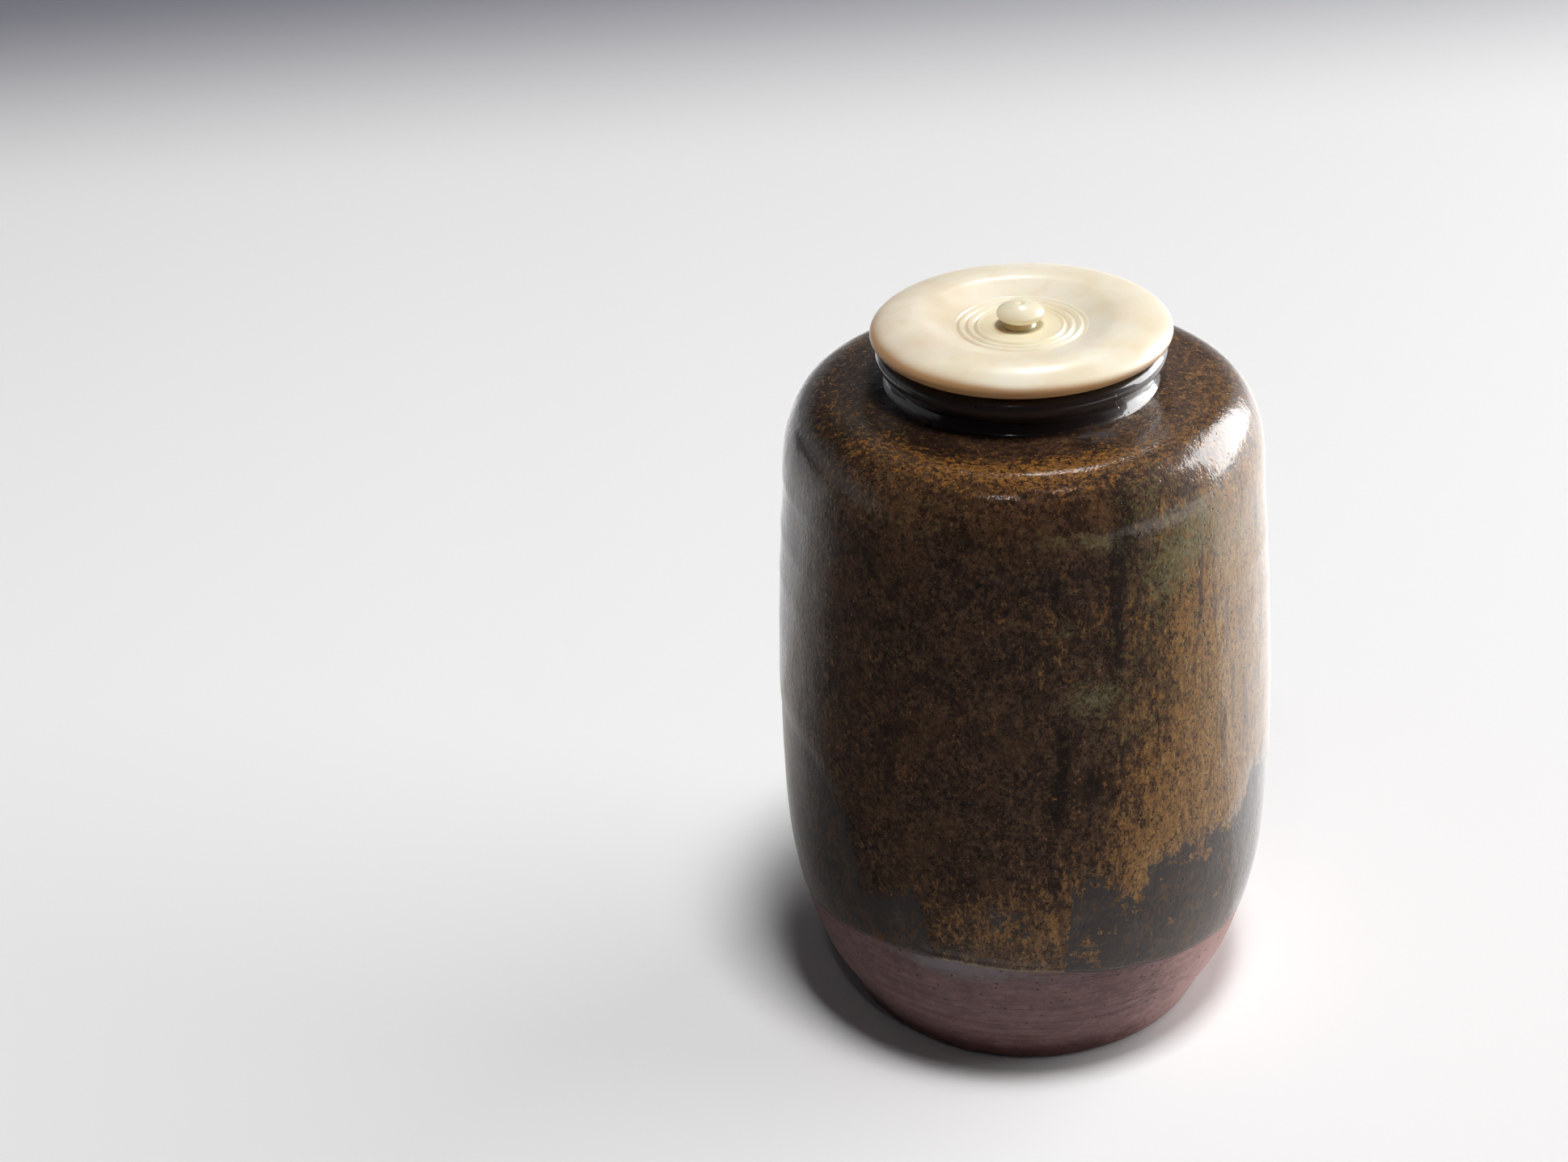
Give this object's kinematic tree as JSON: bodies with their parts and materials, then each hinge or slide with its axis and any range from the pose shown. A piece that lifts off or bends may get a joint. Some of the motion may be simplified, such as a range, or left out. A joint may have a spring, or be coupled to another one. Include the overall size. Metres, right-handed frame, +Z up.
{
  "type": "chaire tea caddy",
  "caption": "Small shouldered stoneware tea jar with run amber-brown glaze over a bare foot, rolled lip and a turned ivory-coloured lid that lifts off by its knob.",
  "frame": {"origin": "middle of the flat foot, on the surface the jar stands on", "axes": "+Z up along the turning axis, -Y the side with the longest amber run, +X to its right"},
  "size_m": [0.0619, 0.062, 0.0937],
  "materials": {
    "bare_stoneware": "bare fired stoneware, mauve brown, fine throwing lines",
    "iron_glaze": "glossy slate-black iron glaze",
    "amber_glaze": "glossy mottled amber-brown glaze run over the dark coat",
    "ivory_lid": "turned and polished ivory-coloured lid",
    "ivory_knob": "turned and polished ivory-coloured knob",
    "gold_leaf": "gold-leafed paper, soft sheen"
  },
  "bodies": {
    "jar": {"clay_body": "bare_stoneware", "base_glaze": "iron_glaze", "amber_overglaze": "amber_glaze"},
    "lid": {"lid_disc": "ivory_lid", "lid_knob": "ivory_knob", "gold_leaf_lining": "gold_leaf"}
  },
  "joints": [
    {"name": "lid_lift", "type": "slide", "parent": "jar", "child": "lid", "axis": [0, 0, 1], "range_m": [0, 0.04]}
  ]
}
